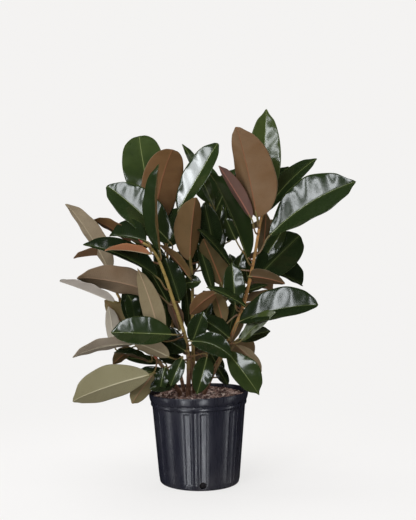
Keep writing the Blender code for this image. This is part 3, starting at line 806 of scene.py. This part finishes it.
def leaf_piece(leaf, cane, materials, look, has_solid):
    rng = random.Random(leaf.name)
    points, faces, slots, places = blade_mesh(leaf, rng)
    points = np.clip(points, *CAD_CORNERS)  # a wavy edge stays inside the solids' box
    line = petiole_line(leaf, cane)
    stalk, stalk_faces = tube(line, PETIOLE_RADII, PETIOLE_SIDES, blade_axes(leaf)[1])
    part = np.repeat(np.linspace(0, 1, len(line)), PETIOLE_SIDES)
    around = np.tile(np.linspace(-1, 1, PETIOLE_SIDES), len(line))
    faces += [tuple(i + len(points) for i in face) for face in stalk_faces]
    slots = np.concatenate([slots, np.full(len(stalk_faces), 2)])
    places = np.concatenate([places, np.stack([part, around, np.zeros_like(part)], axis=1)])
    obj = build(leaf.name + "_grown", [*points, *stalk], faces, materials, slots)
    store(obj, "blade", *places.T)
    store(obj, "grown", places[:, 0] * Vector(leaf.blade).length, look.green)
    store(obj, "tint", look.light, look.dust, look.hue)
    bake_map(obj.data, slots, places)
    slot = "young_leaf" if leaf.number in YOUNG else "leaf"
    finish_piece(obj, slot, *([leaf.name] if has_solid else []))
    return obj


# ---------------- canes

CANE_SIDES = 16
RING_STEP = 8.0
SCAR_SHIFTS = (-2.2, -1.1, 0.0, 1.1, 2.2)  # rings close together round a leaf scar
SCAR_WIDTH, SCAR_HEIGHT = 1.3, 0.35
SCAR_DROP = 3.0  # a leaf's scar is under its joint
FIRST_SCAR, TIP_ROOM, SCAR_ROOM, SCAR_GAPS = 30.0, 20.0, 12.0, (17, 30)
SHEATH_STEPS = 12
SHEATH_SIDES = 14


def cane_piece(cane, joints, material, hue):
    """A cane with a scar under each leaf and more where leaves have dropped."""
    rng = random.Random(cane.name)
    line = cane_line(cane)
    lengths = [0.0]
    for a, b in zip(line, line[1:]):
        lengths.append(lengths[-1] + (b - a).length)
    total = lengths[-1]
    last = len(line) - 1
    scars = [next(d for d, p in zip(lengths, line) if p.z >= joint) - SCAR_DROP for joint in joints]
    place = FIRST_SCAR
    while place < total - TIP_ROOM:
        if all(abs(place - scar) > SCAR_ROOM for scar in scars):
            scars.append(place)
        place += rng.uniform(*SCAR_GAPS)
    stops = {round(d, 1) for d in np.linspace(0, total, int(total / RING_STEP) + 2)}
    for scar in scars:
        stops |= {round(scar + shift, 1) for shift in SCAR_SHIFTS if 0 < scar + shift < total}
    centres, radii, rings = [], [], []
    for stop in sorted(stops):
        index = min(max(0, next((i for i, d in enumerate(lengths) if d >= stop), last) - 1), last - 1)
        part = (stop - lengths[index]) / (lengths[index + 1] - lengths[index])
        scar = max(math.exp(-(((stop - s) / SCAR_WIDTH) ** 2)) for s in scars)
        swell = 1 + 0.035 * noise.noise(Vector((stop * 0.05, hue * 10, 0)))
        centres.append(line[index].lerp(line[index + 1], part))
        radii.append(cane_radius(cane, (index + part) / last) * swell + SCAR_HEIGHT * scar)
        rings.append(scar)
    obj = build(cane.name + "_grown", *tube(centres, radii, CANE_SIDES), [material])
    heights = np.repeat([p.z for p in centres], CANE_SIDES)
    store(obj, "stem", heights, np.repeat(rings, CANE_SIDES), hue)
    finish_piece(obj, "cane_bark", cane.name)


def sheath_piece(cane, material, size):
    """A rolled sheath on the cane's tip, pointed and a little bent, with a seam down one side."""
    rng = random.Random("sheath " + cane.name)
    end, before = Vector(cane.points[-1]), Vector(cane.points[-2])
    direction = (end - before).normalized()
    lean = Vector((rng.uniform(-0.25, 0.25), rng.uniform(-0.25, 0.1), 0.5))
    line, radii = [], []
    for step in range(SHEATH_STEPS + 1):
        t = step / SHEATH_STEPS
        line.append(end + direction * (size * t - 2) + lean * (size * 0.22 * t**2))
        swell = 1.02 + 0.35 * math.sin(math.pi * min(1, t * 2.2))
        radii.append(cane.tip_radius * swell * (1 - t) ** 0.75 + 0.25)
    skin, faces = tube(line, radii, SHEATH_SIDES)
    for i, point in enumerate(skin):
        ring, k = divmod(i, SHEATH_SIDES)
        turn = (k / SHEATH_SIDES + ring * 0.045) % 1
        skin[i] = point + (line[ring] - point) * (0.22 * math.exp(-((turn - 0.5) / 0.06) ** 2))
    obj = build(cane.name + "_sheath", skin, faces, [material])
    store(obj, "blade", np.repeat(np.linspace(0, 1, len(line)), SHEATH_SIDES))
    finish_piece(obj, "young_leaf")


# ---------------- pot and mix

FLUTE_CENTRE, FLUTE_HALF, FLUTE_DEPTH = 10.4, 4.5, 0.9  # degrees from the seam, and millimetres
SEAM_HEIGHT, SEAM_WIDTH = 0.5, 0.45  # millimetres, and degrees
FLUTE_FOOT = 9.0  # no relief below this height
FLUTE_EDGES = (5.2, 5.7, 6.1, 6.6, 8.5, 10.4, 12.3, 14.2, 14.7, 15.1, 15.6)
OFFSETS = (0, 0.35, 0.8, 1.6, 3.5, *FLUTE_EDGES, 18, 22, 26, 30)  # degrees from the seam
FLOOR_TOP = 4.0
WALL = 3.0
MIX_GAP = 0.6  # between the mix and the pot's inside
DRAIN_CUT = 22.0
MIX_SIDES = 96
CHIPS = 1700
CHIPS_REACH = 113.0
CHIP_SIZES = (2, 2.5, 3, 3.5, 4, 5, 6, 8)
CHIP_SIDES = 7
CHIP_LEVELS = ((-0.5, 0.72), (-0.2, 1.0), (0.25, 0.95), (0.5, 0.62))  # height and size of its outlines


def wall_radius(height):
    return FOOT_RADIUS + (SHOULDER_RADIUS - FOOT_RADIUS) * height / SHOULDER


def rounded(profile, turns):
    """Cuts the corners of a profile, keeping its ends (Chaikin's rule)."""
    for _ in range(turns):
        cut = [profile[0]]
        for (r0, z0), (r1, z1) in zip(profile, profile[1:]):
            cut.append((0.75 * r0 + 0.25 * r1, 0.75 * z0 + 0.25 * z1))
            cut.append((0.25 * r0 + 0.75 * r1, 0.25 * z0 + 0.75 * z1))
        profile = [*cut, profile[-1]]
    return profile


def wall_relief(offset, height):
    """How far the wall stands in from its plain radius: flat flutes each side of a seam that stands out."""
    off = abs(offset)
    upright = float(smoothstep(13, 19, height) * (1 - smoothstep(193, 197, height)))
    sunk = float(1 - smoothstep(FLUTE_HALF - 0.6, FLUTE_HALF + 0.4, abs(off - FLUTE_CENTRE)))
    radius = wall_radius(height)
    turn = math.radians(min(abs(off - FLUTE_CENTRE), FLUTE_HALF + 1))
    flat = radius - (radius * math.cos(math.radians(FLUTE_HALF)) - FLUTE_DEPTH) / math.cos(turn)
    seam = SEAM_HEIGHT * math.exp(-((off / SEAM_WIDTH) ** 2))
    seam *= float(smoothstep(10, 16, height) * (1 - smoothstep(197, 200, height)))
    return (flat * sunk - seam * (1 - sunk)) * upright if sunk > 0 else -seam


def out_of_true(x, y, z):
    """The pot leans a little and its rim rises to the right and the front."""
    return (x + LEAN * z, y, z + (RIM_RISE * x - RIM_FRONT_RISE * y) * (z / POT_HEIGHT) ** 2)


def pot_piece(plastic):
    corner = rounded([
        (BASE_RADIUS - 6, 0.8), (BASE_RADIUS - 3, 0), (BASE_RADIUS, 0), (FOOT_RADIUS - 1.2, 1.5),
        (FOOT_RADIUS, 8), (wall_radius(14), 14)], 3)
    wall = [(wall_radius(z), z) for z in (16, 18, 20, 40, 70, 100, 130, 160, 185, 191, 194, 196, 198)]
    rim = rounded([
        (wall_radius(199), 199), (119.4, 202.5), (122.2, 203.2), (122.6, 206.5), (122.4, 210.6),
        (120.9, 211.6), (120.7, 213.2), (123.2, 214.0), (124.4, 216.5), (125.6, 221), (126.9, 228),
        (127.1, 232.5), (126.2, 235), (124.2, 235.1), (123.2, 232.5), (121.9, 224), (120.4, 214)], 2)
    inner = [
        (117.6, 206), (116.2, SHOULDER - 4), (wall_radius(20) - WALL, 20), (FOOT_RADIUS - 4, 8),
        (BASE_RADIUS - 5, FLOOR_TOP)]
    profile = [(0.0, 0.8), (40.0, 0.8), *corner, *wall, *rim, *inner, (40.0, FLOOR_TOP), (0.0, FLOOR_TOP)]
    fluted = range(2, 2 + len(corner) + len(wall))
    offsets = sorted({side * offset for offset in OFFSETS for side in (-1, 1)} - {-30})
    seams = [SEAM_ANGLE + 360 / SECTORS * index for index in range(SECTORS)]
    angles = [(seam + offset, offset) for seam in seams for offset in offsets]
    rings = []
    for row, (radius, height) in enumerate(profile):
        ring = []
        for angle, offset in angles if radius else angles[:1]:
            inward = wall_relief(offset, height) if row in fluted and height > FLUTE_FOOT else 0
            ring.append(out_of_true(*polar(radius - inward, math.radians(angle)), height))
        rings.append(ring)
    pot = build("nursery_pot_moulded", *turned(rings), [plastic])
    for index in range(DRAINS):
        a = math.radians(DRAIN_ANGLE + 360 / DRAINS * index)
        centre = Vector((*polar(FOOT_RADIUS, a), DRAIN_HEIGHT))
        bpy.ops.mesh.primitive_cylinder_add(
            vertices=32, radius=DRAIN_RADIUS * MM, depth=DRAIN_CUT * MM, location=centre * MM,
            rotation=(0, math.pi / 2, a))
        cutter = bpy.context.object
        cut = pot.modifiers.new("drain", "BOOLEAN")
        cut.object = cutter
        bpy.context.view_layer.objects.active = pot
        bpy.ops.object.modifier_apply(modifier=cut.name)
        bpy.data.objects.remove(cutter)
    pot.data.shade_smooth()
    pot.data.set_sharp_from_angle(angle=math.radians(38))
    finish_piece(pot, "black_plastic", "nursery_pot")
    return pot


def soil_height(x, y):
    mound = SOIL_MOUND * max(0.0, 1 - (math.hypot(x, y) / SOIL_REACH) ** 2)
    lumps = 2.2 * noise.noise(Vector((x, y, 3)) * 0.04) + 1.1 * noise.noise(Vector((x, y, 9)) * 0.13)
    return SOIL_EDGE + mound + lumps - 1.5 + SOIL_BACK_RISE * y


def soil_piece(material):
    """The body of the mix, with a lumpy top."""
    inset = WALL + MIX_GAP
    profile = [
        (0.0, FLOOR_TOP + MIX_GAP), (BASE_RADIUS - 4, FLOOR_TOP + MIX_GAP), (FOOT_RADIUS - inset, 9),
        (wall_radius(20) - inset, 20), (SHOULDER_RADIUS - inset, SHOULDER), (118.6, 212)]
    top = [(radius, None) for radius in (118.2, *np.linspace(114, 4, 34), 0.0)]
    rings = []
    for radius, height in profile + top:
        ring = []
        for k in range(MIX_SIDES if radius else 1):
            x, y = polar(radius, math.tau * k / MIX_SIDES)
            ring.append(out_of_true(x, y, soil_height(x, y) if height is None else height))
        rings.append(ring)
    points, faces = turned(rings)
    soil = build("potting_mix_body", points, faces, [material])
    store(soil, "chip", [0.28 + 0.3 * noise.noise(Vector(p) * 0.12) for p in points])
    finish_piece(soil, "potting_mix", "potting_mix")


def chips_piece(material):
    """Loose bark on the mix: flat broken chips, each a bent and notched slab."""
    rng = random.Random(11)
    points, faces, tones = [], [], []
    for _ in range(CHIPS):
        x, y = polar(CHIPS_REACH * math.sqrt(rng.random()), rng.uniform(0, math.tau))
        if any(math.hypot(x - c.points[0][0], y - c.points[0][1]) < c.foot_radius + 2 for c in CANES):
            continue
        size = rng.choice(CHIP_SIZES)
        shape = (size, size * rng.uniform(0.35, 0.8), size * rng.uniform(0.12, 0.3))
        turn = Matrix.Rotation(rng.uniform(0, math.tau), 3, "Z")
        turn = turn @ Matrix.Rotation(rng.gauss(0, 0.35), 3, "X")
        turn = turn @ Matrix.Rotation(rng.gauss(0, 0.28), 3, "Y")
        centre = Vector(out_of_true(x, y, soil_height(x, y) + rng.uniform(0.0, 2.4)))
        rims = [
            (rng.uniform(0.75, 1.1), math.tau * (k + rng.uniform(-0.25, 0.25)) / CHIP_SIDES)
            for k in range(CHIP_SIDES)]
        bend = rng.uniform(-0.25, 0.25)
        start = len(points)
        for level, scale in CHIP_LEVELS:
            for reach, around in rims:
                px, py = polar(reach * scale, around)
                pz = level + bend * px * px + 0.25 * rng.uniform(-1, 1) * (abs(level) > 0.3)
                points.append(centre + turn @ Vector((px * shape[0], py * shape[1], pz * shape[2])))
        faces += ring_faces(len(CHIP_LEVELS), CHIP_SIDES, start)
        tones += [rng.betavariate(2.2, 2.0)] * (len(points) - start)
    chips = build("bark_chips", points, faces, [material])
    chips.data.shade_flat()
    store(chips, "chip", tones)
    finish_piece(chips, "potting_mix")


# ---------------- the plant

class Look(NamedTuple):
    """How light the upper face is; the underside's hue, 0 olive to 0.5 brown to 1 pale; green in it; dust and
    painted sheen.
    """
    light: float
    hue: float
    green: float = 0.0
    dust: float = 0.0


# Each leaf's own tone, partly painted light and shade: leaves in the shaded middle of the plant are set
# darker, the outer undersides paler.
LOOKS = {
    1: (0.65, 0.4), 2: (0.4, 0.48), 3: (0.4, 0.3, 0.2), 4: (0.45, 0.4), 5: (0.5, 0.4),
    6: (0.5, 0.4, 0.0, 0.3), 7: (0.4, 0.42, 0.1), 8: (0.4, 0.4), 9: (0.4, 0.58), 10: (1.0, 0.4),
    11: (0.3, 0.2), 12: (0.2, 0.2), 13: (0.2, 0.4), 14: (0.1, 0.4), 15: (0.35, 0.4), 16: (0.05, 0.4),
    17: (0.0, 0.0), 18: (0.4, 0.1), 19: (0.15, 0.4), 20: (0.9, 0.9, 0.8, 0.5), 21: (0.2, 0.4),
    22: (0.6, 0.4), 23: (0.5, 0.75, 0.2), 24: (0.0, 0.2), 25: (0.3, 0.4), 26: (0.2, 0.4), 28: (0.5, 0.4),
    29: (0.5, 0.95, 0.0, 0.1), 30: (0.5, 0.95, 0.45), 31: (0.5, 0.7, 0.4), 34: (0.5, 0.9, 0.2),
    36: (0.3, 0.4), 37: (0.3, 0.4), 38: (0.0, 0.2), 39: (0.5, 0.85, 0.1), 40: (0.5, 0.45), 43: (0.5, 0.9),
    44: (0.5, 0.55), 45: (0.5, 0.74), 46: (0.5, 0.9, 0.0, 0.45), 47: (0.5, 0.6, 0.3),
    48: (0.5, 0.9, 0.2, 0.3), 49: (0.5, 0.78, 0.25), 54: (0.4, 0.1, 0.1), 57: (0.4, 0.3, 0.3),
    58: (0.4, 0.4), 59: (0.4, 0.42), 66: (0.5, 0.9, 0.0, 0.7)}
CANE_HUES = {
    "cane_front_left": 0.5, "cane_far_left": 0.6, "cane_right": 0.95, "cane_low_left": 0.3,
    "cane_centre": 0.5, "cane_back_left": 0.7, "cane_low_right": 0.5, "cane_back": 0.2, "cane_rear": 0.1}

petiole = petiole_material()
MATURE_MATERIALS = (
    upper_material(
        "leaf_upper", (0.007, 0.012, 0.0045), (0.016, 0.027, 0.0080), (0.044, 0.060, 0.016),
        (0.17, 0.20, 0.075)),
    under_material(
        "leaf_underside", (0.148, 0.075, 0.029), (0.045, 0.031, 0.012), (0.28, 0.225, 0.16),
        (0.22, 0.085, 0.04)),
    petiole)
YOUNG_MATERIALS = (
    upper_material(
        "young_leaf_upper", (0.035, 0.026, 0.020), (0.060, 0.050, 0.030), (0.10, 0.10, 0.04),
        (0.30, 0.20, 0.12), 0.2),
    under_material(
        "young_leaf_underside", (0.17, 0.08, 0.05), (0.065, 0.042, 0.040), (0.42, 0.17, 0.075),
        (0.30, 0.12, 0.08)),
    petiole)

pieces = {}
bark = cane_material()
red_sheath = sheath_material()
for cane in CANES:
    grown = LEAVES[cane.name] + MORE_LEAVES[cane.name]
    cane_piece(cane, [leaf.joint for leaf in grown], bark, CANE_HUES[cane.name])
    sheath_piece(cane, red_sheath, 34.0 if cane.name == "cane_low_right" else 15.0)
    for leaf in grown:
        rng = random.Random("look " + leaf.name)
        # Leaves not listed, mostly fillers inside the plant, get dark tones: their own tone and painted shade
        # of the plant's middle.
        plain = (rng.uniform(0.0, 0.4), rng.uniform(0.0, 0.4), rng.uniform(0.0, 0.2))
        look = Look(*LOOKS.get(leaf.number, plain))
        has_solid = leaf in LEAVES[cane.name]
        materials = YOUNG_MATERIALS if leaf.number in YOUNG else MATURE_MATERIALS
        pieces[leaf.name] = leaf_piece(leaf, cane, materials, look, has_solid)
pot = pot_piece(plastic_material())
soil_piece(bark_material("peat", 0.35))
chips_piece(bark_material("bark", 0.0))


# ---------------- stage, light and camera

PALE = (0.905, 0.895, 0.885)
FLOOR_COLOUR = (0.74, 0.73, 0.72)
FLOOR_RADIUS = 30000.0
FLOOR_DROP = 0.3
FLOOR_SIDES = 96
LIT_FROM, LIT_TO = 0.25, 1.1  # metres out, between which the floor stops showing the lamps' light
FLOOR_GLOW = 0.80  # the floor's own light under the plant, beside the lamps'
DOME_RADIUS = 29.0  # metres
DAYLIGHT = (0.93, 0.96, 1.0)
WINDOW_DISTANCE = 3.0
WINDOW_AIM = Vector((0, 0, 0.55))


def stage_material(name, lit):
    """Emits the pale background colour. When lit, the middle is partly lit by the lamps instead."""
    nodes = new_material(name)
    nodes.tree.nodes.remove(nodes.tree.nodes["Principled BSDF"])
    shine = nodes.add("Emission", {"Color": PALE, "Strength": 1.0}).outputs[0]
    if lit:
        x, y, _ = nodes.axes(nodes.place())
        glow = (x * x + y * y).apply("SQRT").band(LIT_FROM, LIT_TO, FLOOR_GLOW, 1.0)
        matt = nodes.add("BsdfDiffuse", {"Color": FLOOR_COLOUR}).outputs[0]
        shine = nodes.add("MixShader", {0: glow, 1: matt, 2: shine}).outputs[0]
    nodes.plug(nodes.tree.nodes["Material Output"].inputs["Surface"], shine)
    return nodes.owner


rim = [(*polar(FLOOR_RADIUS, math.tau * k / FLOOR_SIDES), -FLOOR_DROP) for k in range(FLOOR_SIDES)]
floor = build("floor", rim, [tuple(range(FLOOR_SIDES))], [stage_material("floor", True)])
floor.visible_glossy = False
bpy.ops.mesh.primitive_uv_sphere_add(segments=48, ring_count=24, radius=DOME_RADIUS)
dome = bpy.context.object
dome.name = "backdrop"
dome.data.materials.append(stage_material("backdrop", False))
for rays in ("diffuse", "glossy", "transmission", "volume_scatter", "shadow"):
    setattr(dome, "visible_" + rays, False)

sky = Nodes(bpy.data.worlds.new("studio"))
upward = sky.axes(sky.add("TexCoord", {}).outputs["Generated"])[2].band(-0.2, 1.0, kind="LINEAR")
greys = ((0.0, (0.10, 0.10, 0.10)), (0.5, (0.16, 0.16, 0.16)), (1.0, (0.55, 0.55, 0.55)))
sky.plug(sky.tree.nodes["Background"].inputs["Color"], sky.ramp(upward, *greys))
sky.owner.cycles_visibility.glossy = False
bpy.context.scene.world = sky.owner


def softbox(name, place, aim, size, power, glossy=False):
    light = bpy.data.lights.new(name, "AREA")
    light.shape = "RECTANGLE"
    light.size, light.size_y = size
    light.energy = power
    obj = bpy.data.objects.new(name, light)
    obj.location = place
    obj.rotation_euler = (Vector(aim) - Vector(place)).to_track_quat("-Z", "Y").to_euler()
    obj.visible_camera = False
    obj.visible_glossy = glossy
    bpy.context.scene.collection.objects.link(obj)
    return obj


def window(name, azimuth, width, power, low=12, high=38):
    """A tall bright strip, azimuth degrees to the right of the camera as the plant sees it."""
    turn = math.radians(azimuth)
    middle = math.radians((low + high) / 2)
    out = Vector((math.sin(turn) * math.cos(middle), -math.cos(turn) * math.cos(middle), math.sin(middle)))
    size = [2 * WINDOW_DISTANCE * math.tan(math.radians(span / 2)) for span in (width, high - low)]
    strip = softbox(name, WINDOW_AIM + out * WINDOW_DISTANCE, WINDOW_AIM, size, power, glossy=True)
    strip.data.color = DAYLIGHT
    return strip


def shine_on(name, piece, azimuth, width, power, low, high):
    """A reflection for one piece only."""
    strip = window(name, azimuth, width, power, low, high)
    strip.visible_diffuse = False
    strip.light_linking.receiver_collection = bpy.data.collections.new(name)
    strip.light_linking.receiver_collection.objects.link(piece)


softbox("overhead", (-0.2, 0.5, 2.6), (0, 0, 0.6), (2.2, 1.6), 47)
window("window far left", -47, 4, 17)
window("window left", -30, 9, 29)
window("window mid left", -15, 4, 17)
window("window right", 8, 4, 11)
shine_on("panel left", pot, -33, 9, 24, -40, -8)
shine_on("panel right", pot, 12, 9, 24, -40, -8)
shine_on("side right", pot, 78, 5, 9, -30, 2)
shine_on("side left", pot, -80, 5, 8, -30, 2)
shine_on("bright leaf", pieces["leaf_05"], -26, 14, 60, 18, 50)
softbox("right", (2.4, -0.6, 1.3), (0, 0, 0.6), (0.5, 1.4), 17)
softbox("back", (0.5, 2.6, 1.2), (0, 0, 0.5), (1.6, 1.4), 24)
softbox("left", (-2.4, 0.2, 1.3), (0, 0, 0.6), (0.5, 1.4), 17)

camera = bpy.data.cameras.new("camera")
camera.lens = 87.92
viewer = bpy.data.objects.new("camera", camera)
viewer.location = (0.0215, -3.2, 0.885)
viewer.rotation_euler = (math.radians(90 - 5.6), 0, 0)  # it looks 5.6 degrees down
bpy.context.scene.collection.objects.link(viewer)
bpy.context.scene.camera = viewer
bpy.context.scene.view_settings.view_transform = "Standard"
